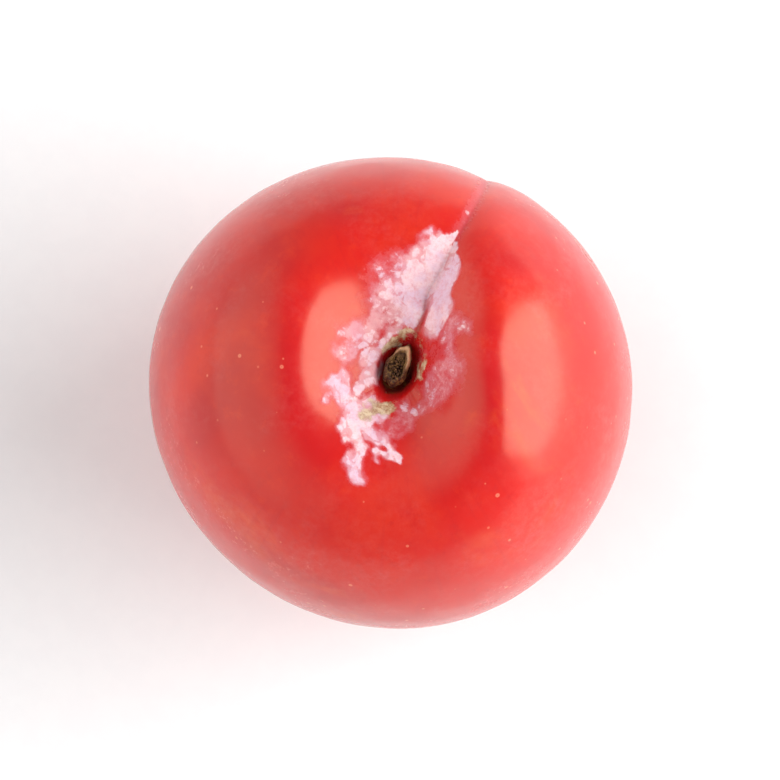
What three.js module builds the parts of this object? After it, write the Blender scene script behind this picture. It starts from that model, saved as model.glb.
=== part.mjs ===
// A ripe red plum, picked without its stalk and standing on its blossom end.
// Millimetres. +Z points up through the stem cavity and +Y towards the suture, the seam that runs
// down one side of the fruit. The origin is the centre of the base, on the resting spot.
// The fruit grew in one piece, so it is one closed solid: a turned body, whose points are then moved
// to press in the stem cavity, the suture and the resting spot.
// Polar angles are measured from the stem end, and turns from the suture towards +X.
import * as THREE from "three";
import { mergeVertices } from "three/addons/utils/BufferGeometryUtils.js";

const { clamp, degToRad, smoothstep } = THREE.MathUtils;

// Overall size
const WIDTH = 50; // cheek to cheek, across the suture
const DEPTH = 48.6; // from the suture to the back
const HEIGHT = 47; // from the resting spot to the highest shoulder

// Turned body, with its widest level at height 0
const GIRTH = WIDTH / 2;
const UPPER = 28; // from the widest level up to where the crown would be without its cavity
const LOWER = 24; // from the widest level down to the blossom end
const FULLNESS = 0.95; // under 1 squares the shoulders a little
const TAPER = 0.022; // how much fuller the stem half is than the blossom half

// Slow swellings round the cheeks, each with its phase and how much it twists on the way down
const SWELLINGS = [
  { height: 0.18, lobes: 3, phase: 1.3, twist: 0 },
  { height: 0.12, lobes: 2, phase: 2.4, twist: 1 },
];

// Stem cavity: an oval funnel, roughly in line with the suture and wider on the -X side
const CAVITY_X = 0.5;
const CAVITY_Y = 0.8;
const CAVITY_SPREAD = 9.4;
const CAVITY_DEPTH = 9.6;
const CAVITY_FLARE = 1.9; // the more, the flatter the bottom and the steeper the wall
const CAVITY_OVAL = 0.25;
const CAVITY_LEAN = 0.2;
const CAVITY_TURN = degToRad(-22); // from the suture to the long side of the oval
const SHOULDER_LEAN = 0.2; // the +X shoulder stands this much higher, the other this much lower
const SHOULDER_AT = 12; // how far from the cavity's middle
const SHOULDER_RISES = [0, 6]; // the same, where the lean sets in

// Pit that the stalk left, with the dry stub of the stalk in it. The walls run between two shares
// of the pit's half size.
const PIT_LENGTH = 7.2;
const PIT_WIDTH = 4;
const PIT_DEPTH = 1.9;
const PIT_WALL = [0.5, 1.15];
const STUB_HEIGHT = 1.1;
const STUB_WALL = [0.3, 0.55];
const RINGS_ROUND_OFF = [PIT_LENGTH / 2, 10]; // from the pit's oval to the body's circle

// Suture: a crease with a steep side towards +X and a gentle one towards -X
const CREASE_DEPTH = 1.9;
const CREASE_AT_WAIST = 0.28; // share of that depth left at the widest level
const CREASE_STEEP = 1.6;
const CREASE_GENTLE = 4.6;
const CREASE_STARTS = [degToRad(4), degToRad(15)];
const CREASE_SHALLOWS = [degToRad(20), degToRad(60)];
const CREASE_ENDS = [degToRad(140), degToRad(174)];
const CREASE_SIDE = [0, 0.7]; // cosines of the turn between which it reaches the fruit's side
const LIP_HEIGHT = 0.18; // the swollen lip along the steep side
const LIP_OFFSET = 5;
const LIP_WIDTH = 3.5;
const SUTURE_DRIFT = 0.9; // how far the suture strays from a true meridian
const SUTURE_BENDS = 2.4;

// Blossom end
const FLAT_SINK = 0.35; // how much of the tip is pressed flat where it rests
const STYLE_RADIUS = 1.3;
const STYLE_DEPTH = 0.4; // the little dent that the flower's style left

// Points around, and the levels from the blossom end up: the polar angle where each band ends, and
// its steps
const AROUND = 84;
const BANDS = [
  { to: degToRad(177), steps: 3 },
  { to: degToRad(166), steps: 6 },
  { to: degToRad(36), steps: 27 },
  { to: degToRad(7), steps: 14 },
  { to: degToRad(1.4), steps: 9 },
  { to: 0, steps: 2 },
];
const CROWDING = 0.5; // brings the points closer together towards the suture
const CROWDING_SETS_IN = [0.05, 0.35]; // sines of the polar angle

const ease = (value, [from, to]) => smoothstep(value, from, to);
const bell = (value) => Math.exp(-value * value);

// Radius and height of the turned body at a polar angle.
function bodyPoint(polar) {
  const rise = Math.cos(polar);
  const radius = GIRTH * Math.sin(polar) ** FULLNESS * (1 + TAPER * rise);
  return new THREE.Vector2(radius, (rise > 0 ? UPPER : LOWER) * rise);
}

// The turned body. LatheGeometry turns about Y, so it is laid over to stand on Z.
function turnedBody() {
  const profile = [new THREE.Vector2(0, -LOWER)];
  let from = Math.PI;
  for (const { to, steps } of BANDS) {
    for (let step = 1; step <= steps; step++) {
      profile.push(bodyPoint(from + ((to - from) * step) / steps));
    }
    from = to;
  }
  return new THREE.LatheGeometry(profile, AROUND).rotateX(Math.PI / 2);
}

// How far the cheeks swell out, nothing at the two ends.
function swelling(polar, turn) {
  let out = 0;
  for (const { height, lobes, phase, twist } of SWELLINGS) {
    out += height * Math.cos(lobes * turn - phase + twist * polar);
  }
  return out * Math.sin(polar) ** 2;
}

// How far the suture's crease goes in, less the swollen lip beside it. aside is the distance from
// the suture along the skin, positive towards +X.
function crease(polar, turn, radius) {
  const aside = radius * Math.sin(turn);
  const valley = Math.exp(-Math.abs(aside) / (aside > 0 ? CREASE_STEEP : CREASE_GENTLE));
  const lip = bell((aside - LIP_OFFSET) / LIP_WIDTH);
  const ends = ease(polar, CREASE_STARTS) * (1 - ease(polar, CREASE_ENDS));
  const shallower = 1 - (1 - CREASE_AT_WAIST) * ease(polar, CREASE_SHALLOWS);
  const strength = ends * shallower * ease(Math.cos(turn), CREASE_SIDE);
  return strength * (CREASE_DEPTH * valley - LIP_HEIGHT * lip);
}

// How far the stem cavity, its pit and the stub change the height at a point of the crown, given
// from the cavity's middle.
function cavity(across, along) {
  const far = Math.hypot(across, along);
  const way = Math.atan2(across, along);
  const offAxis = way - CAVITY_TURN;
  const oval = 1 + CAVITY_OVAL * Math.cos(2 * offAxis) - CAVITY_LEAN * Math.sin(offAxis);
  const funnel = CAVITY_DEPTH * Math.exp(-((far / (CAVITY_SPREAD * oval)) ** CAVITY_FLARE));
  const lean = SHOULDER_LEAN * Math.sin(way) * bell(far / SHOULDER_AT - 1);
  const inPit = 2 * Math.hypot(across / PIT_WIDTH, along / PIT_LENGTH);
  const pit = PIT_DEPTH * (1 - ease(inPit, PIT_WALL));
  const stub = STUB_HEIGHT * (1 - ease(inPit, STUB_WALL));
  return lean * ease(far, SHOULDER_RISES) - funnel - pit + stub;
}

// The tip is pressed flat where the plum rests, round the dent that the style left.
function restingHeight(height, radius) {
  const floor = FLAT_SINK - LOWER;
  if (height > floor) return height;
  return floor + STYLE_DEPTH * (1 - smoothstep(radius, 0, STYLE_RADIUS));
}

// Moves a point of the turned body to its place on the plum.
function grow(point) {
  const radius = Math.hypot(point.x, point.y);
  const polar = Math.acos(clamp(point.z / (point.z > 0 ? UPPER : LOWER), -1, 1));
  const even = Math.atan2(point.x, point.y);
  const turn = even - CROWDING * ease(Math.sin(polar), CROWDING_SETS_IN) * Math.sin(even);

  const lift = 1 + (swelling(polar, turn) - crease(polar, turn, radius)) / point.length();
  const drift = (SUTURE_DRIFT / GIRTH) * Math.sin(SUTURE_BENDS * polar) * Math.sin(polar);
  const byPit = point.z > 0 ? 1 - ease(radius, RINGS_ROUND_OFF) : 0;
  const oval = (PIT_LENGTH / PIT_WIDTH) ** (byPit / 2);
  const x = (radius * lift * Math.sin(turn + drift)) / oval + byPit * CAVITY_X;
  const y = radius * lift * Math.cos(turn + drift) * oval + byPit * CAVITY_Y;
  const change = point.z > 0 ? cavity(x - CAVITY_X, y - CAVITY_Y) : 0;
  point.set(x, y, restingHeight(point.z * lift + change, radius));
}

// The plum's skin: every point of the turned body moved to its place.
function skinGeometry() {
  const geometry = turnedBody();
  const places = geometry.getAttribute("position");
  const point = new THREE.Vector3();
  for (let i = 0; i < places.count; i++) {
    grow(point.fromBufferAttribute(places, i));
    places.setXYZ(i, point.x, point.y, point.z);
  }
  geometry.deleteAttribute("normal");
  geometry.deleteAttribute("uv");
  return mergeVertices(geometry);
}

// Brings a geometry to the overall size, with its base on z = 0 and centred on the origin.
function fitToSize(geometry) {
  geometry.computeBoundingBox();
  const size = geometry.boundingBox.getSize(new THREE.Vector3());
  const middle = geometry.boundingBox.getCenter(new THREE.Vector3());
  geometry.translate(-middle.x, -middle.y, -geometry.boundingBox.min.z);
  geometry.scale(WIDTH / size.x, DEPTH / size.y, HEIGHT / size.z);
  geometry.computeVertexNormals();
  return geometry;
}

const skin = new THREE.MeshStandardMaterial({ color: 0xc4201f, roughness: 0.4, metalness: 0 });
const fruit = new THREE.Mesh(fitToSize(skinGeometry()), skin);
fruit.name = "plum";

const plum = new THREE.Group();
plum.add(fruit);

export default plum;
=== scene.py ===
"""A ripe red plum, picked without its stalk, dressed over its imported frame.

The fruit is one fine skin, whose points follow the same formulas and named values as the frame's
plain solid, with the fine relief and the finish added. The dry scar of the stalk sits in the stem
cavity and the dried style at the blossom end. Shape sizes are in millimetres until a piece is
brought to the frame's box, which is in metres. Polar angles are measured from the stem end, and
turns from the suture towards +X.
"""

import logging
import math
from dataclasses import dataclass, field
from enum import Enum

import bmesh
import bpy
import numpy as np
from mathutils import Matrix, Vector, noise


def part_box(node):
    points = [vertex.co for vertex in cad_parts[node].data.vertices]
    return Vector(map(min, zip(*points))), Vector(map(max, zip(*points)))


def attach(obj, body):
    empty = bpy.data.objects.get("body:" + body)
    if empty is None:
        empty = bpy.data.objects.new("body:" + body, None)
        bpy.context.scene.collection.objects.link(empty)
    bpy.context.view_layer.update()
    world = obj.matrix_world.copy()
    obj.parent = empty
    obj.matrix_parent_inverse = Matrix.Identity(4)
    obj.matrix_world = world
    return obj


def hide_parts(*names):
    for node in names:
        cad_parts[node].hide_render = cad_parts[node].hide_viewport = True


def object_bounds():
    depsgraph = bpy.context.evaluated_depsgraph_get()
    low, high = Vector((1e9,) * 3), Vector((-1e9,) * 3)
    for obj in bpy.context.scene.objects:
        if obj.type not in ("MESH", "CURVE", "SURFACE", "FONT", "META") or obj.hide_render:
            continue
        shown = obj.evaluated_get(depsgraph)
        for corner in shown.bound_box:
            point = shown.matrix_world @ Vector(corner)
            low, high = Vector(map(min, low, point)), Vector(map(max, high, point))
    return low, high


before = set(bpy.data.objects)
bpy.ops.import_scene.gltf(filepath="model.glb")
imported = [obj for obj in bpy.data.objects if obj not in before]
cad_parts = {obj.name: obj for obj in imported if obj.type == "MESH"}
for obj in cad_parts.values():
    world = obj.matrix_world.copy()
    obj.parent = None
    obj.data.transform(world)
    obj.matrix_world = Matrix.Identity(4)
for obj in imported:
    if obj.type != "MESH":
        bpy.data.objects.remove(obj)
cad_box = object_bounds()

LOG = logging.getLogger("plum")
NODE = "plum"
BODY = "root"
MM = 0.001
FAR_FROM_PIT = 99.0  # stands for the distance from the pit on the lower half
BLUNT_STREAK = 1.3  # the more, the flatter a bloom streak's top and the sharper its edge

Array = np.ndarray
Socket = bpy.types.NodeSocket
Material = bpy.types.Material
Piece = bpy.types.Object
Mesh = bmesh.types.BMesh
Colour = tuple[float, float, float, float]
Triple = tuple[float, float, float]
Pair = tuple[float, float]


class SurfaceMap(Enum):
    """The maps that a mesh carries for its finish, one value or vector a point."""

    BLOOM = "bloom_thickness"
    RUSSET = "russet"
    # where the pit's walls are darkened: partly their own tissue, partly painted shade
    PIT = "pit"
    GROWTH = "growth"
    # painted shade along the suture's crease
    CREASE_SHADE = "suture_crease_shade"
    # the scar's pale corky rim, partly a painted highlight on its lit side
    EDGE = "corky_edge_and_highlight"


class Stirring(Enum):
    """The stirrings that the skin's maps are read through, each by its place in the noise."""

    BLOOM = 0.0
    PIT = 3.0
    CORK = 7.0


def srgb(red: int, green: int, blue: int) -> Colour:
    """Gives a colour for a shader from its everyday 8-bit numbers.

    Args:
        red: Red, 0 to 255.
        green: Green, 0 to 255.
        blue: Blue, 0 to 255.

    Returns:
        The linear colour with full alpha.
    """
    linear = []
    for value in (red, green, blue):
        share = value / 255
        linear.append(share / 12.92 if share <= 0.04045 else ((share + 0.055) / 1.055) ** 2.4)
    return (*linear, 1.0)


def per_mm(size: float) -> float:
    """Gives a texture's scale, in metres, for features of about this size in millimetres."""
    return 1 / (size * MM)


@dataclass(frozen=True)
class Span:
    """A stretch of a value over which something sets in smoothly, and how strong it gets."""

    low: float
    high: float
    top: float = 1.0

    def ease(self, value: Array) -> Array:
        """Rises smoothly from 0 at the low end to the top at the high end."""
        share = np.clip((value - self.low) / (self.high - self.low), 0, 1)
        return self.top * share * share * (3 - 2 * share)


def bell(value: Array) -> Array:
    """A bell curve of height 1 and width 1."""
    return np.exp(-value * value)


@dataclass(frozen=True)
class Swelling:
    """One slow swelling round the cheeks."""

    height: float
    lobes: int
    phase: float
    twist: float


@dataclass(frozen=True)
class SkinPlace:
    """Where points of the skin lie, in several measures that the finish goes by."""

    points: Array
    across: Array
    along: Array
    aside: Array
    in_pit: Array

    @property
    def upper(self) -> Array:
        """Which of them are on the upper half."""
        return self.points[:, 2] > 0


@dataclass(frozen=True)
class FruitShape:
    """The plum's form, with the frame's own driving values."""

    girth: float = 25.0
    upper: float = 28.0
    lower: float = 24.0
    fullness: float = 0.95
    taper: float = 0.022
    swellings: tuple[Swelling, ...] = (Swelling(0.18, 3, 1.3, 0), Swelling(0.12, 2, 2.4, 1))

    cavity_x: float = 0.5
    cavity_y: float = 0.8
    cavity_spread: float = 9.4
    cavity_depth: float = 9.6
    cavity_flare: float = 1.9
    cavity_oval: float = 0.25
    cavity_lean: float = 0.2
    cavity_turn: float = math.radians(-22)
    shoulder_lean: float = 0.2
    shoulder_at: float = 12.0
    shoulder_rises: Span = Span(0, 6)

    pit_length: float = 7.2
    pit_width: float = 4.0
    pit_depth: float = 1.9
    pit_wall: Span = Span(0.5, 1.15)
    stub_height: float = 1.1
    stub_wall: Span = Span(0.3, 0.55)
    rings_round_off: Span = Span(3.6, 10)

    crease_depth: float = 1.9
    crease_at_waist: float = 0.28
    crease_steep: float = 1.6
    crease_gentle: float = 4.6
    crease_starts: Span = Span(math.radians(4), math.radians(15))
    crease_shallows: Span = Span(math.radians(20), math.radians(60))
    crease_ends: Span = Span(math.radians(140), math.radians(174))
    crease_side: Span = Span(0, 0.7)
    lip_height: float = 0.18
    lip_offset: float = 5.0
    lip_width: float = 3.5
    suture_drift: float = 0.9
    suture_bends: float = 2.4

    flat_sink: float = 0.35
    style_radius: float = 1.3
    style_depth: float = 0.4

    def swelling(self, polar: Array, turn: Array) -> Array:
        """How far the cheeks swell out, nothing at the two ends."""
        out = np.zeros_like(polar)
        for swell in self.swellings:
            out += swell.height * np.cos(swell.lobes * turn - swell.phase + swell.twist * polar)
        return out * np.sin(polar) ** 2

    def crease(self, polar: Array, turn: Array, aside: Array) -> Array:
        """How far the suture's crease goes in, less the swollen lip beside it.

        Args:
            polar: Polar angles.
            turn: Turns from the suture.
            aside: Distances from the suture along the skin, positive towards +X.

        Returns:
            The depths.
        """
        side = np.where(aside > 0, self.crease_steep, self.crease_gentle)
        valley = np.exp(-np.abs(aside) / side)
        lip = bell((aside - self.lip_offset) / self.lip_width)
        ends = self.crease_starts.ease(polar) * (1 - self.crease_ends.ease(polar))
        shallower = 1 - (1 - self.crease_at_waist) * self.crease_shallows.ease(polar)
        strength = ends * shallower * self.crease_side.ease(np.cos(turn))
        return strength * (self.crease_depth * valley - self.lip_height * lip)

    def cavity(self, across: Array, along: Array) -> tuple[Array, Array]:
        """How far the stem cavity, its pit and the stub change the crown's height.

        Args:
            across: Distances from the cavity's middle towards +X.
            along: Distances from it towards +Y.

        Returns:
            The changes, and how far out in the pit's oval each point lies, 1 at its rim.
        """
        far = np.hypot(across, along)
        way = np.arctan2(across, along)
        off_axis = way - self.cavity_turn
        oval = 1 + self.cavity_oval * np.cos(2 * off_axis) - self.cavity_lean * np.sin(off_axis)
        spread = self.cavity_spread * oval
        funnel = self.cavity_depth * np.exp(-((far / spread) ** self.cavity_flare))
        lean = self.shoulder_lean * np.sin(way) * bell(far / self.shoulder_at - 1)
        in_pit = 2 * np.hypot(across / self.pit_width, along / self.pit_length)
        pit = self.pit_depth * (1 - self.pit_wall.ease(in_pit))
        stub = self.stub_height * (1 - self.stub_wall.ease(in_pit))
        return lean * self.shoulder_rises.ease(far) - funnel - pit + stub, in_pit

    def resting(self, height: Array, radius: Array) -> Array:
        """Presses the tip flat where the plum rests, round the dent that the style left."""
        floor = self.flat_sink - self.lower
        dent = self.style_depth * (1 - Span(0, self.style_radius).ease(radius))
        return np.where(height > floor, height, floor + dent)

    def place(self, polar: Array, turn: Array) -> SkinPlace:
        """Works out the skin's points.

        Args:
            polar: Their polar angles.
            turn: Their turns from the suture.

        Returns:
            Their places and the measures that go with them.
        """
        rise = np.cos(polar)
        round_off = np.clip(np.sin(polar), 0, 1)
        radius = self.girth * round_off**self.fullness * (1 + self.taper * rise)
        height = np.where(rise > 0, self.upper, self.lower) * rise
        upper = height > 0

        aside = radius * np.sin(turn)
        outward = self.swelling(polar, turn) - self.crease(polar, turn, aside)
        lift = 1 + outward / np.hypot(radius, height)
        bend = np.sin(self.suture_bends * polar) * np.sin(polar)
        drift = (self.suture_drift / self.girth) * bend
        by_pit = np.where(upper, 1 - self.rings_round_off.ease(radius), 0)
        oval = (self.pit_length / self.pit_width) ** (by_pit / 2)
        x = radius * lift * np.sin(turn + drift) / oval + by_pit * self.cavity_x
        y = radius * lift * np.cos(turn + drift) * oval + by_pit * self.cavity_y
        across, along = x - self.cavity_x, y - self.cavity_y
        change, in_pit = self.cavity(across, along)
        z = self.resting(height * lift + np.where(upper, change, 0), radius)
        from_pit = np.where(upper, in_pit, FAR_FROM_PIT)
        return SkinPlace(np.stack([x, y, z], axis=1), across, along, aside, from_pit)


@dataclass(frozen=True)
class Cloud:
    """A cloudy pattern: how fine it is, how many finer layers it has and how strong they are.

    It also says how much it is stirred, where what it stands for sets in, and how it is squeezed
    each way, if it is.
    """

    scale: float
    detail: float
    roughness: float
    stirred: float = 0.0
    shows: Span = Span(0, 1)
    run: Triple | None = None


class Board:
    """The nodes of one material or of the world, each made with its inputs set or wired."""

    def __init__(self, name: str, tree: bpy.types.NodeTree | None = None) -> None:
        """Starts an empty material of that name, or empties the tree that is given."""
        if tree is None:
            self.material = bpy.data.materials.new(name)
            self.material.use_nodes = True
            tree = self.material.node_tree
        self.tree = tree
        self.tree.nodes.clear()
        self.coordinates = self.node("ShaderNodeTexCoord", {}).outputs

    def node(self, kind: str, wires: dict, **settings: object) -> bpy.types.Node:
        """Adds a node.

        Args:
            kind: Its type.
            wires: For each input, by name or number, a value or the output that feeds it.
            settings: Its own settings.

        Returns:
            The node.
        """
        made = self.tree.nodes.new(kind)
        for name, value in settings.items():
            setattr(made, name, value)
        for name, value in wires.items():
            if isinstance(value, Socket):
                self.tree.links.new(value, made.inputs[name])
            else:
                made.inputs[name].default_value = value
        return made

    @property
    def place(self) -> Socket:
        """The surface point in the object's own coordinates."""
        return self.coordinates["Object"]

    def mark(self, mark: SurfaceMap) -> Socket:
        """One of the maps that the mesh carries."""
        made = self.node("ShaderNodeAttribute", {}, attribute_name=mark.value)
        return made.outputs["Vector" if mark is SurfaceMap.GROWTH else "Fac"]

    def part(self, vector: Socket, axis: str) -> Socket:
        """One part of a vector, X, Y or Z."""
        return self.node("ShaderNodeSeparateXYZ", {"Vector": vector}).outputs[axis]

    def cloud(self, cloud: Cloud, at: Socket | None = None) -> Socket:
        """A cloudy pattern from 0 to 1.

        Args:
            cloud: The pattern.
            at: Where it is read, if not at the surface point.

        Returns:
            The pattern's value.
        """
        at = self.place if at is None else at
        if cloud.run:
            at = self.node("ShaderNodeMapping", {"Vector": at, "Scale": cloud.run}).outputs[0]
        wires = {
            "Vector": at,
            "Scale": cloud.scale,
            "Detail": cloud.detail,
            "Roughness": cloud.roughness,
            "Distortion": cloud.stirred,
        }
        return self.node("ShaderNodeTexNoise", wires).outputs["Fac"]

    def patches(self, cloud: Cloud, at: Socket | None = None) -> Socket:
        """How much shows of what sets in where a cloudy pattern is high."""
        return self.stretch(self.cloud(cloud, at), cloud.shows)

    def stretch(self, value: Socket, span: Span) -> Socket:
        """Eases a value from 0 at a span's low end, which may be the larger one, to its top."""
        wires = {"Value": value, "From Min": span.low, "From Max": span.high, "To Max": span.top}
        made = self.node("ShaderNodeMapRange", wires, interpolation_type="SMOOTHSTEP")
        return made.outputs["Result"]

    def ramp(self, value: Socket, span: Span, start: float, end: float) -> Socket:
        """Brings a value from a span to another one in a straight line.

        Args:
            value: The value.
            span: Where it starts and ends.
            start: What the span's low end becomes.
            end: What its high end becomes.

        Returns:
            The new value.
        """
        wires = {"Value": value, "From Min": span.low, "From Max": span.high}
        wires |= {"To Min": start, "To Max": end}
        return self.node("ShaderNodeMapRange", wires).outputs["Result"]

    def stir(self, vector: Socket, scale: float, reach: float) -> Socket:
        """Shifts where a pattern is read, so that its lines wander.

        Args:
            vector: Where it is read.
            scale: How fine the wandering is.
            reach: How far it goes, in millimetres.

        Returns:
            The shifted place.
        """
        wires = {"Vector": vector, "Scale": scale, "Detail": 2.0}
        cloud = self.node("ShaderNodeTexNoise", wires).outputs["Color"]
        centred = self.node(
            "ShaderNodeVectorMath", {0: cloud, 1: (0.5, 0.5, 0.5)}, operation="SUBTRACT"
        )
        wires = {0: centred.outputs[0], 1: (2 * reach * MM,) * 3, 2: vector}
        return self.node("ShaderNodeVectorMath", wires, operation="MULTIPLY_ADD").outputs[0]

    def sum(self, how: str, first: object, second: object) -> Socket:
        """Reckons with two values or outputs by an operation, such as ADD."""
        return self.node("ShaderNodeMath", {0: first, 1: second}, operation=how).outputs[0]

    def mix(self, share: object, below: object, above: object) -> Socket:
        """Lays one colour over another, of which that share shows."""
        wires = {0: share, 6: below, 7: above}
        return self.node("ShaderNodeMix", wires, data_type="RGBA").outputs[2]

    def bump(self, height: Socket, depth: float, under: object = None) -> Socket:
        """Roughens the surface by a height.

        Args:
            height: The height, from 0 to 1.
            depth: What 1 stands for, in metres.
            under: The bump below it, if any.

        Returns:
            The normal.
        """
        wires = {"Height": height, "Distance": depth, "Strength": 1.0}
        if under is not None:
            wires["Normal"] = under
        return self.node("ShaderNodeBump", wires).outputs["Normal"]

    def surface(self, **inputs: object) -> Material:
        """Ends the material with its shader.

        Args:
            inputs: The shader's inputs, with _ for each space in their names.

        Returns:
            The material.
        """
        wires = {name.replace("_", " "): value for name, value in inputs.items()}
        shader = self.node("ShaderNodeBsdfPrincipled", wires)
        self.node("ShaderNodeOutputMaterial", {"Surface": shader.outputs["BSDF"]})
        return self.material


@dataclass(frozen=True)
class Pores:
    """One scatter of breathing pores: its gap in mm, and its widest as a share of the gap."""

    gap: float
    widest: Span


@dataclass(frozen=True)
class SkinFinish:
    """Taut red skin under a waxy bloom, with pale dots, and cork round the pit."""

    red: Colour = srgb(208, 20, 20)
    # deep red down the sides: partly the skin's own red, partly painted shade
    deep_red_and_shade: Colour = srgb(166, 12, 22)
    crimson: Colour = srgb(186, 14, 28)
    scarlet: Colour = srgb(222, 52, 24)
    golden: Colour = srgb(230, 92, 32)
    # pale pink of bloom remains, partly painted sheen on the sides
    dust_and_sheen_colour: Colour = srgb(244, 158, 156)
    ring: Colour = srgb(240, 140, 112)
    core: Colour = srgb(186, 88, 60)
    bloom: Colour = srgb(250, 216, 222)
    lilac: Colour = srgb(222, 192, 216)
    worn: Colour = srgb(226, 152, 170)
    film: Colour = srgb(210, 112, 132)
    cork: Colour = srgb(222, 202, 166)
    rust: Colour = srgb(166, 128, 88)
    # painted shade in the suture's crease
    crease_shade: Colour = srgb(120, 10, 26)
    # dark maroon pit walls: partly their own tissue, partly painted shade
    pit: Colour = srgb(104, 12, 14)
    olive: Colour = srgb(138, 88, 38)
    shine: Colour = (1.0, 0.88, 0.64, 1.0)
    veil: Colour = (1.0, 0.78, 0.74, 1.0)

    large_tints: tuple[tuple[Cloud, Colour], ...] = (
        (Cloud(per_mm(22), 3, 0.5, 0.4, Span(0.42, 0.68)), crimson),
        (Cloud(per_mm(13), 4, 0.55, 0.0, Span(0.5, 0.78, 0.55)), scarlet),
        (Cloud(per_mm(17), 5, 0.6, 0.8, Span(0.56, 0.8, 0.6)), golden),
    )
    streaks: Cloud = Cloud(2.2, 5, 0.6, 0.3, Span(0.5, 0.8, 0.35), (9.0, 9.0, 0.9))
    fine_tints: tuple[tuple[Cloud, Colour], ...] = (
        (Cloud(per_mm(1.2), 6, 0.75, 0.0, Span(0.5, 0.74, 0.42)), crimson),
        (Cloud(per_mm(2.3), 5, 0.7, 0.0, Span(0.54, 0.76, 0.34)), scarlet),
    )
    # how far down the sides the red deepens: partly the skin's own red, partly painted shade
    side_deepening_and_shade: Span = Span(0.8, 1.7, 0.4)

    scatters: tuple[Pores, ...] = (
        Pores(2.3, Span(-0.6, 0.8, 0.11)),
        Pores(1.3, Span(0.7, 2.4, 0.14)),
    )
    pore_chances: Span = Span(0.2, 0.8)
    smallest_pore: float = 0.3
    ring_edge: Span = Span(-0.02, 0.04, 0.66)
    core_share: float = 0.4
    core_edge: Span = Span(-0.015, 0.02, 0.6)

    # bloom remains over the sides, partly painted sheen
    dust_and_sheen_clouds: Cloud = Cloud(per_mm(9), 4, 0.6, 0.6, Span(0.34, 0.76))
    dust_and_sheen_grains: Cloud = Cloud(per_mm(0.9), 7, 0.76, 0.0, Span(0.34, 0.72))
    crown_to_sides: Span = Span(0.75, 1.6)
    dust_and_sheen_on_crown: float = 0.08
    dust_and_sheen_on_sides: float = 0.36

    flakes: Cloud = Cloud(per_mm(1.9), 8, 0.74, 0.5)
    flaking: float = 1.5
    crack_gap: float = 1.5
    crack_stir: Pair = (2.4, 0.75)
    crack_edge: Span = Span(0.16, 0.02)
    cracking: float = 0.2
    thick_cover: Span = Span(1.08, 1.6, 0.96)
    powder: Cloud = Cloud(per_mm(0.5), 5, 0.75, 0.0, Span(0.32, 0.58, 0.26))
    least_powder: float = 0.74
    powdering: float = 0.7
    thin_cover: Span = Span(0.42, 1.15, 0.6)
    tone: Cloud = Cloud(per_mm(3.2), 4, 0.6, 0.0, Span(0.38, 0.62))
    lilac_share: float = 0.7
    rubbed: Cloud = Cloud(per_mm(0.7), 8, 0.8, 1.2, Span(0.5, 0.66, 0.5))
    film_to_wax: Span = Span(0.2, 0.75)

    crumbs: Cloud = Cloud(per_mm(0.8), 6, 0.75, 0.0, Span(0.62, 0.42))
    crumbling: float = 1.2
    cork_edge: Span = Span(0.98, 1.3, 0.9)
    bands: Cloud = Cloud(per_mm(0.8), 4, 0.65, 0.6, Span(0.48, 0.72), (0.35, 1.0, 1.0))

    glossy: float = 0.22
    matt: float = 0.72
    grain: Cloud = Cloud(per_mm(0.45), 3, 0.6)
    grain_depth: float = 0.005
    cover_depth: float = 0.05

    def ground(self, board: Board, growth: Socket) -> Socket:
        """Cloudy reds with faint streaks from end to end, deeper down the sides, partly painted
        shade.

        Args:
            board: The material's nodes.
            growth: The point by its turn and polar angle.

        Returns:
            The colour.
        """
        colour = self.red
        for cloud, tint in self.large_tints:
            colour = board.mix(board.patches(cloud), colour, tint)
        colour = board.mix(board.patches(self.streaks, growth), colour, self.crimson)
        for cloud, tint in self.fine_tints:
            colour = board.mix(board.patches(cloud), colour, tint)
        # deeper red down the sides, partly painted shade
        side_deepening_and_shade = board.stretch(board.part(growth, "Z"), self.side_deepening_and_shade)
        return board.mix(side_deepening_and_shade, colour, self.deep_red_and_shade)

    def pores(self, board: Board, down: Socket, under: Socket, scatter: Pores) -> Socket:
        """Lays one scatter of breathing pores over the skin, pale rings with a darker middle.

        Args:
            board: The material's nodes.
            down: The polar angle.
            under: The colour that they lie on.
            scatter: The scatter.

        Returns:
            The colour with the pores.
        """
        wires = {"Vector": board.place, "Scale": per_mm(scatter.gap), "Randomness": 1.0}
        cells = board.node("ShaderNodeTexVoronoi", wires)
        away = cells.outputs["Distance"]
        share = board.ramp(cells.outputs["Color"], self.pore_chances, self.smallest_pore, 1.0)
        size = board.sum("MULTIPLY", share, board.stretch(down, scatter.widest))
        ring = board.stretch(board.sum("SUBTRACT", size, away), self.ring_edge)
        inner = board.sum("MULTIPLY", size, self.core_share)
        core = board.stretch(board.sum("SUBTRACT", inner, away), self.core_edge)
        return board.mix(core, board.mix(ring, under, self.ring), self.core)

    def dust_and_sheen(self, board: Board, down: Socket) -> Socket:
        """Pale pink in grainy clouds over the sides, scarce on the crown: partly bloom remains,
        partly painted sheen.

        Args:
            board: The material's nodes.
            down: The polar angle.

        Returns:
            How much of each point it covers.
        """
        clouds = board.patches(self.dust_and_sheen_clouds)
        grains = board.patches(self.dust_and_sheen_grains)
        left = board.ramp(down, self.crown_to_sides, self.dust_and_sheen_on_crown, self.dust_and_sheen_on_sides)
        return board.sum("MULTIPLY", board.sum("MULTIPLY", clouds, grains), left)

    def crackle(self, board: Board) -> Socket:
        """The net of fine cracks in the bloom, 1 on a crack and 0 between them."""
        size, reach = self.crack_stir
        stirred = board.stir(board.place, per_mm(size), reach)
        wires = {"Vector": stirred, "Scale": per_mm(self.crack_gap), "Randomness": 1.0}
        cells = board.node("ShaderNodeTexVoronoi", wires, feature="DISTANCE_TO_EDGE")
        return board.stretch(cells.outputs["Distance"], self.crack_edge)

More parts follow.
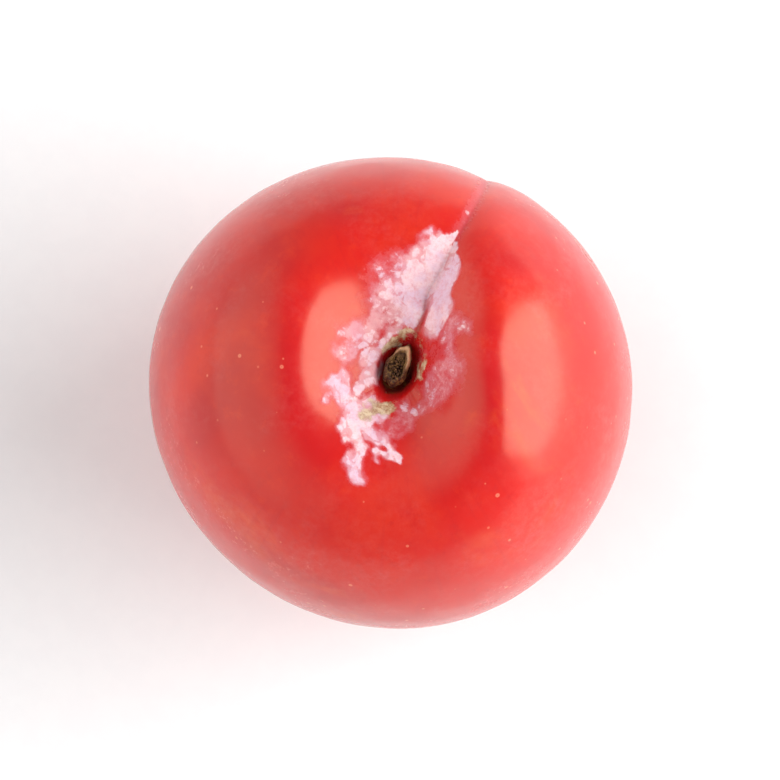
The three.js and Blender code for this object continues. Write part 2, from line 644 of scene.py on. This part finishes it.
    def bloom_cover(self, board: Board) -> Socket:
        """How much of each point the thick bloom of the stem cavity and the suture covers.

        It covers the skin but for the flakes that have come off, and thins to a powdery film.

        Args:
            board: The material's nodes.

        Returns:
            The cover, from 0 to 1.
        """
        thick = board.mark(SurfaceMap.BLOOM)
        flakes = board.sum("MULTIPLY", board.cloud(self.flakes), self.flaking)
        cracks = board.sum("MULTIPLY", self.crackle(board), self.cracking)
        broken = board.sum("SUBTRACT", board.sum("ADD", thick, flakes), cracks)
        heavy = board.stretch(broken, self.thick_cover)
        powder = board.cloud(self.powder)
        kept = board.stretch(powder, self.powder.shows)
        heavy = board.sum("MULTIPLY", heavy, board.sum("ADD", kept, self.least_powder))
        spread = board.sum("ADD", thick, board.sum("MULTIPLY", powder, self.powdering))
        return board.sum("MAXIMUM", heavy, board.stretch(spread, self.thin_cover))

    def wax(self, board: Board, cover: Socket) -> Socket:
        """The bloom's colour: pale with lilac clouds, rubbed in spots, and pink where it is thin.

        Args:
            board: The material's nodes.
            cover: How much of each point it covers.

        Returns:
            The colour.
        """
        lilac = board.sum("MULTIPLY", board.patches(self.tone), self.lilac_share)
        wax = board.mix(lilac, self.bloom, self.lilac)
        wax = board.mix(board.patches(self.rubbed), wax, self.worn)
        return board.mix(board.stretch(cover, self.film_to_wax), self.film, wax)

    def material(self) -> Material:
        """Builds the skin's material."""
        board = Board("plum_skin_finish")
        growth = board.mark(SurfaceMap.GROWTH)
        down = board.part(growth, "Z")
        # pale pink over the sides: partly bloom remains, partly painted sheen
        dust_and_sheen = self.dust_and_sheen(board, down)
        colour = board.mix(dust_and_sheen, self.ground(board, growth), self.dust_and_sheen_colour)
        for scatter in self.scatters:
            colour = self.pores(board, down, colour, scatter)
        cover = self.bloom_cover(board)
        colour = board.mix(cover, colour, self.wax(board, cover))
        # painted shade along the suture's crease
        colour = board.mix(board.mark(SurfaceMap.CREASE_SHADE), colour, self.crease_shade)

        crumbs = board.cloud(self.crumbs)
        loose = board.sum("MULTIPLY", crumbs, self.crumbling)
        corky = board.sum("ADD", board.mark(SurfaceMap.RUSSET), loose)
        cork = board.stretch(corky, self.cork_edge)
        scaly = board.mix(board.stretch(crumbs, self.crumbs.shows), self.cork, self.rust)
        colour = board.mix(cork, colour, scaly)
        # the pit's dark walls with olive bands: partly their own tissue, partly painted shade
        wall = board.mix(board.patches(self.bands), self.pit, self.olive)
        colour = board.mix(board.mark(SurfaceMap.PIT), colour, wall)

        covered = board.sum("MAXIMUM", board.sum("MAXIMUM", cover, dust_and_sheen), cork)
        normal = board.bump(board.cloud(self.grain), self.grain_depth * MM)
        normal = board.bump(board.sum("MAXIMUM", cover, cork), self.cover_depth * MM, normal)
        return board.surface(
            Base_Color=colour,
            Roughness=board.ramp(covered, Span(0, 1), self.glossy, self.matt),
            IOR=1.56,
            Specular_Tint=self.shine,
            Sheen_Weight=0.06,
            Sheen_Roughness=0.3,
            Sheen_Tint=self.veil,
            Subsurface_Weight=0.12,
            Subsurface_Radius=(1.0, 0.25, 0.12),
            Subsurface_Scale=1.6 * MM,
            Normal=normal,
        )


@dataclass(frozen=True)
class WoodyFinish:
    """Dry brown tissue with a paler edge, partly cork and partly painted highlight, as the stalk's
    and the style's scars show it.
    """

    name: str
    dark: Colour = srgb(64, 24, 12)
    light: Colour = srgb(148, 106, 54)
    # pale corky edge, on the stalk's scar partly a painted highlight on its lit side
    edge: Colour = srgb(214, 170, 128)
    fibres: Cloud = Cloud(per_mm(0.3), 5, 0.7, 0.8, run=(1.0, 1.0, 0.25))
    patches: Cloud = Cloud(per_mm(1.2), 3, 0.6)
    patchy: float = 0.6
    lighter: Span = Span(0.66, 1.0)
    crumbs: Cloud = Cloud(per_mm(0.35), 4, 0.7)
    crumbling: float = 0.7
    corky: Span = Span(0.75, 1.15, 0.92)
    depth: float = 0.12
    roughness: float = 0.72

    def material(self) -> Material:
        """Builds the material."""
        board = Board(self.name)
        fibres = board.cloud(self.fibres)
        patches = board.sum("MULTIPLY", board.cloud(self.patches), self.patchy)
        lighter = board.stretch(board.sum("ADD", fibres, patches), self.lighter)
        colour = board.mix(lighter, self.dark, self.light)
        crumbs = board.sum("MULTIPLY", board.cloud(self.crumbs), self.crumbling)
        # pale rim: cork, and on the stalk's scar partly a painted highlight
        rim = board.sum("ADD", board.mark(SurfaceMap.EDGE), crumbs)
        colour = board.mix(board.stretch(rim, self.corky), colour, self.edge)
        normal = board.bump(fibres, self.depth * MM)
        return board.surface(Base_Color=colour, Roughness=self.roughness, Normal=normal)


@dataclass(frozen=True)
class FloorFinish:
    """Plain white paper-like surface."""

    white: Colour = (0.93, 0.93, 0.93, 1.0)
    shade: Colour = (0.92, 0.92, 0.922, 1.0)
    mottle: Cloud = Cloud(per_mm(3), 3, 0.6, 0.0, Span(0.4, 0.6))
    roughness: float = 0.7

    def material(self) -> Material:
        """Builds the material."""
        board = Board("studio_white")
        colour = board.mix(board.patches(self.mottle), self.white, self.shade)
        return board.surface(Base_Color=colour, Roughness=self.roughness)


def finish_piece(piece: Piece, material: Material) -> None:
    """Gives a piece its material and ties it to the frame.

    Args:
        piece: The piece.
        material: Its material.
    """
    piece.data.materials.append(material)
    piece.data.shade_smooth()
    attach(piece, BODY)


def new_object(name: str, mesh: Mesh) -> Piece:
    """Makes an object of a finished mesh, at the origin.

    Args:
        name: Its name.
        mesh: Its mesh, which is used up.

    Returns:
        The object.
    """
    bmesh.ops.recalc_face_normals(mesh, faces=mesh.faces[:])
    data = bpy.data.meshes.new(name)
    mesh.to_mesh(data)
    mesh.free()
    made = bpy.data.objects.new(name, data)
    bpy.context.scene.collection.objects.link(made)
    return made


@dataclass(frozen=True)
class BloomStreak:
    """One streak of bloom by the pit, which runs between two places given from its middle."""

    start: Pair
    end: Pair
    widths: Pair
    thickness: float

    def lay(self, along: Array, across: Array) -> Array:
        """How thick it lies.

        Args:
            along: How far points lie from the cavity's middle towards the suture.
            across: How far they lie from it towards +X.

        Returns:
            The thickness at each.
        """
        run = (self.end[0] - self.start[0], self.end[1] - self.start[1])
        ahead = (along - self.start[0]) * run[0] + (across - self.start[1]) * run[1]
        share = np.clip(ahead / (run[0] ** 2 + run[1] ** 2), 0, 1)
        off_along = along - self.start[0] - share * run[0]
        off_across = across - self.start[1] - share * run[1]
        width = self.widths[0] + (self.widths[1] - self.widths[0]) * share
        away = np.hypot(off_along, off_across) / width
        return self.thickness * bell(away**BLUNT_STREAK)


@dataclass(frozen=True)
class ValleyBloom:
    """The bloom in the suture's valley, wide on its gentle side and narrow on its steep side.

    Lengths are in millimetres. Those along the suture start at the cavity's middle, and those
    aside at the suture, positive towards its steep side.
    """

    thickness: float = 1.1
    sets_in: Span = Span(1.8, 5.5)
    whole_to: float = 8.4
    tip_length: float = 7.9
    tip_bluntness: float = 1.3
    gentle_reach: float = 6.6
    gentle_edge: Span = Span(0.25, 1.3)
    gentle_stirring: float = 0.9
    steep_reach: float = 3.7
    steep_edge: Span = Span(0.65, 1.08)
    steep_stirring: float = 0.35
    steep_ends: float = 17.0
    steep_narrows_over: float = 9.4
    least_reach: float = 0.01

    bare_at: float = 0.3
    bare_width: float = 0.5
    bare: float = 0.2
    barer_by_pit: float = 0.7
    barer_to: Span = Span(3.5, 9)

    # a pale line along the crease past the valley's tip: thin bloom, partly a painted highlight
    bloom_and_highlight_trace: float = 0.42
    trace_at: float = -0.3
    trace_width: float = 0.8
    trace_sets_in: Span = Span(12, 15)
    trace_ends: Span = Span(0, 9)

    def lay(self, place: SkinPlace, along: Array, shift: Array) -> Array:
        """How thick it lies.

        Args:
            place: The points.
            along: How far they lie along the suture, stirred.
            shift: How far they are stirred aside.

        Returns:
            The thickness at each.
        """
        stirring = np.where(place.aside < 0, self.gentle_stirring, self.steep_stirring)
        aside = place.aside + stirring * shift
        beyond = np.clip(along - self.whole_to, 0, None) / self.tip_length
        taper = np.clip(1 - beyond**self.tip_bluntness, 0, 1)
        left = np.maximum(self.gentle_reach * taper, self.least_reach)
        narrower = np.clip((self.steep_ends - along) / self.steep_narrows_over, 0, 1)
        right = np.maximum(self.steep_reach * narrower * np.sqrt(taper), self.least_reach)
        in_left = 1 - self.gentle_edge.ease(-aside / left)
        in_right = 1 - self.steep_edge.ease(aside / right)
        valley = np.where(aside < 0, in_left, in_right) * (taper > 0)
        bare = self.bare + self.barer_by_pit * (1 - self.barer_to.ease(place.along))
        valley *= 1 - bare * bell((place.aside - self.bare_at) / self.bare_width)
        shown = self.thickness * valley * self.sets_in.ease(along)
        # pale line along the crease: thin bloom, partly a painted highlight
        bloom_and_highlight_trace = bell((place.aside - self.trace_at) / self.trace_width)
        bloom_and_highlight_trace = bloom_and_highlight_trace * self.trace_sets_in.ease(along)
        return np.maximum(shown, self.bloom_and_highlight_trace * bloom_and_highlight_trace * self.trace_ends.ease(place.points[:, 2]))


@dataclass(frozen=True)
class CreaseShadeLine:
    """Painted shade along the suture's crease: strong where it runs into the pit, faint further
    down.
    """

    strength: float = 0.62
    fades: tuple[tuple[float, Span], ...] = ((0.42, Span(4, 9)), (0.12, Span(11, 16)))
    sets_in: Span = Span(2.2, 3.6)
    aside: float = 0.25
    steep_width: float = 0.3
    gentle_width: float = 0.55

    def lay(self, place: SkinPlace) -> Array:
        """How dark the painted crease shade is at each point, not counting where the crease ends.
        """
        width = np.where(place.aside > self.aside, self.steep_width, self.gentle_width)
        line = bell((place.aside - self.aside) / width)
        strength = self.strength
        for drop, span in self.fades:
            strength = strength - drop * span.ease(place.along)
        return line * strength * np.where(place.upper, self.sets_in.ease(place.along), 1)


@dataclass(frozen=True)
class CorkPatches:
    """Cork by the pit, as a patch opposite the suture and scraps on its rim, and by the style.

    Lengths are in millimetres, along the suture and across it from the cavity's middle. The rim
    is given as a share of the pit's half size, and each wave round it by height, count and phase.
    """

    patch_at: Pair = (-4.9, -0.1)
    patch_size: Pair = (1.9, 1.7)
    patch_bluntness: float = 1.5
    patch_strength: float = 0.8
    scraps: float = 0.34
    scrap_waves: tuple[tuple[float, int, float], ...] = ((0.3, 1, 0.2), (0.2, 3, -2.0))
    rim_at: float = 1.1
    rim_width: float = 0.3
    rim_uneven: float = 0.25
    style_ring: float = 0.9
    style_width: float = 0.7
    style_strength: float = 0.62

    def lay(self, place: SkinPlace, shifts: Array) -> Array:
        """How corky the skin is.

        Args:
            place: The points.
            shifts: How far each is stirred along, across and out from the pit.

        Returns:
            The cork at each, from 0 to 1.
        """
        along = place.along + shifts[:, 0]
        across = place.across + shifts[:, 1]
        off_along = (along - self.patch_at[0]) / self.patch_size[0]
        off_across = (across - self.patch_at[1]) / self.patch_size[1]
        patch = self.patch_strength * bell(np.hypot(off_along, off_across) ** self.patch_bluntness)
        way = np.arctan2(across, along)
        scraps = self.scraps
        for height, count, phase in self.scrap_waves:
            scraps = scraps + height * np.cos(count * way - phase)
        out = place.in_pit + self.rim_uneven * shifts[:, 2]
        rim = scraps * bell((out - self.rim_at) / self.rim_width)
        from_style = np.hypot(place.points[:, 0], place.points[:, 1])
        by_style = self.style_strength * bell((from_style - self.style_ring) / self.style_width)
        return np.where(place.upper, np.maximum(patch, rim), by_style)


@dataclass
class PlumFruit:
    """The whole fruit's skin, fine enough for its wrinkles and the edge of its suture."""

    shape: FruitShape = field(default_factory=FruitShape)
    valley: ValleyBloom = ValleyBloom()
    crease_shade: CreaseShadeLine = CreaseShadeLine()
    cork: CorkPatches = CorkPatches()
    pit_edge: Span = Span(0.5, 0.86)
    pit_uneven: float = 0.22
    streaks: tuple[BloomStreak, ...] = (
        BloomStreak((-3.9, -5.3), (-6.0, -2.0), (1.1, 1.3), 1.0),
        BloomStreak((-5.6, -2.8), (-11.8, 0.6), (1.8, 1.0), 1.0),
        BloomStreak((-6.0, -0.8), (-9.2, 3.0), (1.5, 0.6), 0.95),
        BloomStreak((-3.2, -2.9), (3.2, -2.2), (1.0, 1.1), 0.82),
        BloomStreak((-2.0, -5.4), (1.0, -4.2), (1.2, 1.2), 0.66),
        BloomStreak((0.8, -5.4), (4.4, -3.6), (1.3, 1.6), 0.74),
        BloomStreak((6.4, 3.2), (0.6, 4.3), (1.6, 2.0), 0.56),
        BloomStreak((0.6, 4.3), (-4.6, 3.2), (1.9, 1.3), 0.54),
        BloomStreak((-4.6, 3.2), (-6.6, 1.0), (1.2, 1.2), 0.5),
    )
    stirs: tuple[Pair, ...] = ((2.4, 0.8), (0.9, 0.38))
    stirs_within: float = 20.0
    apart: tuple[Vector, ...] = (Vector((0, 0, 0)), Vector((31, 7, 3)), Vector((5, 43, 17)))
    around: int = 288
    levels: int = 300
    crowding: float = 0.5
    crowding_sets_in: Span = Span(0.05, 0.35)
    level_crowding: float = 0.8
    wrinkle_height: float = 0.06
    wrinkle_counts: tuple[int, ...] = (9, 14, 23, 31, 41, 53)
    wrinkle_phase: float = 1.7
    wrinkle_curl: float = 0.35
    wrinkle_at: float = 4.2
    wrinkle_width: float = 2.4
    dimple_height: float = 0.05
    dimple_size: float = 3.2
    dimples_set_in: Span = Span(0.0, 1.5)

    def wrinkles(self, place: SkinPlace) -> Array:
        """Fine folds that run out from the pit."""
        far = np.hypot(place.across, place.along)
        way = np.arctan2(place.across, place.along)
        out = np.zeros_like(far)
        for count in self.wrinkle_counts:
            wave = np.sin(count * way + self.wrinkle_phase * count + self.wrinkle_curl * far)
            out += wave / len(self.wrinkle_counts)
        near = bell((far - self.wrinkle_at) / self.wrinkle_width)
        return np.where(place.upper, self.wrinkle_height * out * near, 0)

    def dimples(self, points: Array) -> Array:
        """The slight unevenness of the whole skin."""
        heights = [noise.noise(Vector(point) / self.dimple_size) for point in points]
        return self.dimple_height * np.array(heights)

    def stirred(self, place: SkinPlace, stirring: Stirring) -> Array:
        """How far each point of the crown is shifted before a map is read there.

        Args:
            place: The points.
            stirring: Which of the stirrings.

        Returns:
            The shifts along and across, and one spare, in millimetres.
        """
        seed = stirring.value
        shifts = np.zeros_like(place.points)
        near = np.hypot(place.across, place.along) < self.stirs_within
        crown = np.flatnonzero(place.upper & near)
        for size, reach in self.stirs:
            for index in crown:
                spot = Vector(place.points[index]) / size + Vector((seed, seed, size))
                shifts[index] += [2 * reach * noise.noise(spot + apart) for apart in self.apart]
        return shifts

    def bloom(self, place: SkinPlace) -> Array:
        """How thick the waxy bloom lies, where it wasn't rubbed off in picking.

        It fills the suture's valley, wide and feathered on its gentle side and narrow on its
        steep side, but for a line along the bottom of the crease, and lies in streaks by the pit.

        Args:
            place: The points.

        Returns:
            The thickness at each, from 0 to 1.
        """
        shifts = self.stirred(place, Stirring.BLOOM)
        along = place.along + shifts[:, 0]
        across = place.across + shifts[:, 1]
        # the valley's bloom runs on as a pale line along the crease, partly a painted highlight
        shown = self.valley.lay(place, along, shifts[:, 1])
        for streak in self.streaks:
            shown = np.maximum(shown, streak.lay(along, across))
        return np.where(place.upper, shown, 0)

    def hollow(self, place: SkinPlace) -> Array:
        """How far each point is inside the pit, 1 on its walls and floor, with an uneven edge."""
        # the pit's walls and floor take a dark colour: partly their own tissue, partly painted
        # shade
        shifts = self.stirred(place, Stirring.PIT)
        return 1 - self.pit_edge.ease(place.in_pit + self.pit_uneven * shifts[:, 0])

    def fit(self, points: Array) -> Array:
        """Brings points to the frame's box, in metres."""
        low, high = (np.array(corner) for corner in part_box(NODE))
        floor, top = points.min(axis=0), points.max(axis=0)
        return low + (points - floor) * (high - low) / (top - floor)

    def build(self) -> Piece:
        """Builds and dresses the fruit.

        Returns:
            The piece.
        """
        mesh = bmesh.new()
        bmesh.ops.create_uvsphere(
            mesh, u_segments=self.around, v_segments=self.levels, radius=1.0
        )
        piece = new_object("plum_fruit", mesh)
        count = len(piece.data.vertices)
        places = np.empty(count * 3)
        piece.data.vertices.foreach_get("co", places)
        places = places.reshape(count, 3)

        share = np.arccos(np.clip(places[:, 2], -1, 1)) / math.pi
        polar = math.pi * (share - self.level_crowding * np.sin(2 * math.pi * share) / math.tau)
        even = np.arctan2(places[:, 0], places[:, 1])
        turn = even - self.crowding * self.crowding_sets_in.ease(np.sin(polar)) * np.sin(even)
        place = self.shape.place(polar, turn)
        points = place.points.copy()
        points[:, 2] += self.wrinkles(place)
        outward = points / np.linalg.norm(points, axis=1)[:, None]
        above_floor = self.dimples_set_in.ease(points[:, 2] - points[:, 2].min())
        points += outward * (self.dimples(points) * above_floor)[:, None]
        piece.data.vertices.foreach_set("co", self.fit(points).ravel())

        ends = 1 - self.shape.crease_ends.ease(polar)
        # painted shade along the suture's crease, faint past its ends
        crease_shade = self.crease_shade.lay(place) * ends * self.shape.crease_side.ease(np.cos(turn))
        cork = self.cork.lay(place, self.stirred(place, Stirring.CORK))
        growth = np.stack([np.sin(turn), np.cos(turn), polar], axis=1)
        carry(piece, SurfaceMap.BLOOM, self.bloom(place))
        carry(piece, SurfaceMap.RUSSET, cork)
        carry(piece, SurfaceMap.PIT, self.hollow(place))
        carry(piece, SurfaceMap.CREASE_SHADE, crease_shade)
        carry(piece, SurfaceMap.GROWTH, growth)
        finish_piece(piece, SkinFinish().material())
        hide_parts(NODE)
        return piece


def carry(piece: Piece, mark: SurfaceMap, values: Array) -> None:
    """Stores a map on a piece's mesh.

    Args:
        piece: The piece.
        mark: Which map.
        values: One value or one vector for each point.
    """
    kind, part = ("FLOAT", "value") if values.ndim == 1 else ("FLOAT_VECTOR", "vector")
    layer = piece.data.attributes.new(mark.value, kind, "POINT")
    layer.data.foreach_set(part, values.astype(np.float32).ravel())


@dataclass
class StemScar:
    """The dry mark that the stalk left: a corky cup with a tuft of torn fibres in it."""

    shape: FruitShape = field(default_factory=FruitShape)
    length: float = 4.0
    width: float = 2.1
    floor_section: tuple[Pair, ...] = ((0.0, 0.36), (0.3, 0.34), (0.52, 0.38))
    rim_section: tuple[Pair, ...] = ((0.66, 0.56), (0.76, 0.84), (0.85, 0.95), (0.94, 0.78))
    foot_section: tuple[Pair, ...] = ((1.0, 0.0), (1.08, -0.8), (1.1, -1.2), (0.0, -1.2))
    uneven: float = 0.42
    worn_down: float = 0.75
    seat: float = 0.3
    fibres: int = 46
    fibre_spread: float = 0.66
    fibre_height: float = 0.95
    fibre_width: float = 0.12
    seed: int = 5

    def cup(self, mesh: Mesh) -> None:
        """Turns the cup from its section, in millimetres, with an uneven edge.

        Args:
            mesh: The mesh that it goes into.
        """
        section = self.floor_section + self.rim_section + self.foot_section
        points = [mesh.verts.new((reach, 0, height)) for reach, height in section]
        edges = [mesh.edges.new(pair) for pair in zip(points, points[1:])]
        bmesh.ops.spin(
            mesh,
            geom=points + edges,
            cent=(0, 0, 0),
            axis=(0, 0, 1),
            angle=math.tau,
            steps=72,
            use_merge=True,
        )
        bmesh.ops.remove_doubles(mesh, verts=mesh.verts[:], dist=1e-5)
        bmesh.ops.subdivide_edges(mesh, edges=mesh.edges[:], cuts=1, use_grid_fill=True, smooth=0.6)
        for vert in mesh.verts:
            far = math.hypot(vert.co.x, vert.co.y)
            way = math.atan2(vert.co.x, vert.co.y)
            side = 1 + 0.07 * math.sin(3 * way + 1) + 0.05 * math.sin(7 * way)
            rise = self.uneven * noise.noise(Vector((3.2 * vert.co.x, 3.2 * vert.co.y, vert.co.z)))
            gone = self.worn_down * (0.5 - 0.5 * math.cos(way - 0.6)) if vert.co.z > 0 else 0
            vert.co.x *= side * self.width / 2
            vert.co.y *= side * self.length / 2
            vert.co.z = vert.co.z * (1 - gone) + rise * min(1, 2 * far)

    def tuft(self, mesh: Mesh) -> None:
        """Sets the torn ends of the stalk's fibres in the cup.

        Args:
            mesh: The mesh that they go into.
        """
        chance = np.random.default_rng(self.seed)
        for _ in range(self.fibres):
            way = chance.uniform(0, math.tau)
            far = self.fibre_spread * math.sqrt(chance.uniform(0, 1))
            high = self.fibre_height * chance.uniform(0.45, 1.0) * (1 - 0.5 * far)
            thick = self.fibre_width * chance.uniform(0.7, 1.6)
            made = bmesh.ops.create_cone(
                mesh, cap_ends=True, segments=7, radius1=thick, radius2=0.45 * thick, depth=high
            )
            lean = Matrix.Rotation(chance.uniform(-0.35, 0.35), 4, "X")
            lean @= Matrix.Rotation(chance.uniform(-0.35, 0.35), 4, "Y")
            foot = (far * math.sin(way) * self.width / 2, far * math.cos(way) * self.length / 2, 0)
            bmesh.ops.transform(mesh, matrix=lean, verts=made["verts"])
            rise = Vector((0, 0, self.floor_section[0][1] * (1 - self.worn_down / 2) + 0.4 * high))
            bmesh.ops.translate(mesh, vec=Vector(foot) + rise, verts=made["verts"])

    def build(self) -> Piece:
        """Builds and dresses the scar.

        Returns:
            The piece.
        """
        mesh = bmesh.new()
        self.cup(mesh)
        edge = self.corky(mesh)
        self.tuft(mesh)
        edge = np.concatenate([edge, np.zeros(len(mesh.verts) - len(edge))])
        bmesh.ops.translate(mesh, verts=mesh.verts[:], vec=self.bottom())
        bmesh.ops.scale(mesh, verts=mesh.verts[:], vec=(MM, MM, MM))
        piece = new_object("stem_scar", mesh)
        carry(piece, SurfaceMap.EDGE, edge)
        finish_piece(piece, WoodyFinish("stalk_scar_wood").material())
        return piece

    def corky(self, mesh: Mesh) -> Array:
        """How pale each point of the cup is: its corky rim, most of all towards +X and the suture,
        partly a painted highlight.
        """
        places = np.array([vert.co[:] for vert in mesh.verts])
        out = 2 * np.hypot(places[:, 0] / self.width, places[:, 1] / self.length)
        way = np.arctan2(places[:, 0], places[:, 1])
        return bell((out - 0.9) / 0.24) * (0.36 + 0.56 * np.cos(way - 0.5))

    def bottom(self) -> Vector:
        """Where the middle of the scar lies, in millimetres over the frame's base."""
        stem_end = self.shape.place(np.array([1e-4]), np.array([0.0])).points[0]
        top = float(stem_end[2]) + self.shape.lower - self.shape.flat_sink
        return Vector((self.shape.cavity_x, self.shape.cavity_y, top - self.seat))


@dataclass
class BlossomScar:
    """The dried foot of the flower's style, a brown point in the dent at the blossom end."""

    shape: FruitShape = field(default_factory=FruitShape)
    width: float = 1.2
    height: float = 0.3
    point: float = 0.12

    def build(self) -> Piece:
        """Builds and dresses the scar.

        Returns:
            The piece.
        """
        mesh = bmesh.new()
        bmesh.ops.create_uvsphere(mesh, u_segments=40, v_segments=24, radius=0.5)
        for vert in mesh.verts:
            far = 2 * math.hypot(vert.co.x, vert.co.y)
            way = math.atan2(vert.co.x, vert.co.y)
            edge = 1 + 0.1 * math.sin(5 * way + 0.7) + 0.06 * math.sin(9 * way)
            down = self.point * math.exp(-((far / 0.25) ** 2)) if vert.co.z < 0 else 0
            rough = 0.04 * noise.noise(vert.co * 8)
            vert.co.x *= self.width * edge
            vert.co.y *= self.width * edge
            vert.co.z = vert.co.z * self.height - down + rough
        bmesh.ops.translate(mesh, verts=mesh.verts[:], vec=(0, 0, self.shape.style_depth))
        bmesh.ops.scale(mesh, verts=mesh.verts[:], vec=(MM, MM, MM))
        piece = new_object("blossom_scar", mesh)
        carry(piece, SurfaceMap.EDGE, np.zeros(len(piece.data.vertices)))
        finish_piece(piece, WoodyFinish("style_scar_wood").material())
        return piece


@dataclass
class Studio:
    """Pale floor, soft light from the picture's right, and the camera over the plum."""

    azimuth: float = 25.0
    elevation: float = 83.5
    distance: float = 0.6
    fill: float = 0.62
    sensor: float = 36.0
    floor_size: float = 6.0
    walls_to_ceiling: Span = Span(0.1, 0.8)
    wall_light: float = 0.74
    ceiling_light: float = 0.34
    pale_wall: Triple = (-0.85, 0.0, 0.45)
    pale_wall_light: Span = Span(0.35, 1.0, 1.6)
    window: Triple = (0.85, 0.02, 0.46)
    window_away: float = 0.9
    window_size: Pair = (1.2, 0.85)
    window_watts: float = 15.0
    clip: Pair = (0.01, 20.0)

    def side(self, right: float, up: float, rise: float) -> Vector:
        """A direction given in the picture's right and up, and above the floor.

        Args:
            right: Its share to the picture's right.
            up: Its share to the picture's top.
            rise: Its share straight up.

        Returns:
            The direction.
        """
        turn = math.radians(self.azimuth)
        east = Vector((math.cos(turn), math.sin(turn), 0))
        north = Vector((-math.sin(turn), math.cos(turn), 0))
        return (east * right + north * up + Vector((0, 0, rise))).normalized()

    def floor(self) -> Piece:
        """Lays the floor."""
        mesh = bmesh.new()
        bmesh.ops.create_grid(mesh, x_segments=4, y_segments=4, size=self.floor_size / 2)
        made = new_object("floor", mesh)
        made.data.materials.append(FloorFinish().material())
        return made

    def lamp(self) -> None:
        """Hangs the window's soft light."""
        way = self.side(*self.window)
        data = bpy.data.lights.new("window", "AREA")
        data.shape = "RECTANGLE"
        data.size, data.size_y = self.window_size
        data.energy = self.window_watts
        lamp = bpy.data.objects.new("window", data)
        bpy.context.scene.collection.objects.link(lamp)
        lamp.location = way * self.window_away
        lamp.rotation_mode = "QUATERNION"
        lamp.rotation_quaternion = (-way).to_track_quat("-Z", "Y")

    def surroundings(self) -> None:
        """Lights the scene from all round: bright walls, a darker ceiling, a pale wall at left."""
        world = bpy.data.worlds.new("studio")
        bpy.context.scene.world = world
        world.use_nodes = True
        board = Board("studio", world.node_tree)
        way = board.coordinates["Generated"]
        height = board.part(way, "Z")
        all_round = board.ramp(height, self.walls_to_ceiling, self.wall_light, self.ceiling_light)
        wires = {0: way, 1: self.side(*self.pale_wall)}
        to_wall = board.node("ShaderNodeVectorMath", wires, operation="DOT_PRODUCT")
        wall = board.stretch(to_wall.outputs["Value"], self.pale_wall_light)
        light = board.node("ShaderNodeBackground", {"Strength": board.sum("ADD", all_round, wall)})
        board.node("ShaderNodeOutputWorld", {"Surface": light.outputs[0]})

    def camera(self) -> None:
        """Sets the camera over the plum, at the photograph's viewing angle."""
        low, high = cad_box
        width = high.x - low.x
        aim = Vector(((low.x + high.x) / 2, (low.y + high.y) / 2, low.z + 0.5 * (high.z - low.z)))
        lift = math.radians(self.elevation)
        back = self.side(0, -math.cos(lift), math.sin(lift))
        data = bpy.data.cameras.new("camera")
        data.sensor_width = self.sensor
        data.lens = self.sensor * self.distance * self.fill / width
        made = bpy.data.objects.new("camera", data)
        bpy.context.scene.collection.objects.link(made)
        made.location = aim + back * self.distance
        made.rotation_mode = "QUATERNION"
        made.rotation_quaternion = (-back).to_track_quat("-Z", "Y")
        data.clip_start, data.clip_end = self.clip
        bpy.context.scene.camera = made

    def build(self) -> None:
        """Sets up the whole studio."""
        self.floor()
        self.surroundings()
        self.lamp()
        self.camera()
        scene = bpy.context.scene
        scene.view_settings.view_transform = "Standard"
        scene.view_settings.look = "None"


def main() -> None:
    """Builds the plum and its studio, and reports each piece."""
    logging.basicConfig(level=logging.INFO, format="%(name)s: %(message)s")
    pieces = [PlumFruit().build(), StemScar().build(), BlossomScar().build()]
    Studio().build()
    for piece in pieces:
        piece.data.calc_loop_triangles()
        LOG.info("%s: %d triangles", piece.name, len(piece.data.loop_triangles))


if __name__ == "__main__":
    main()
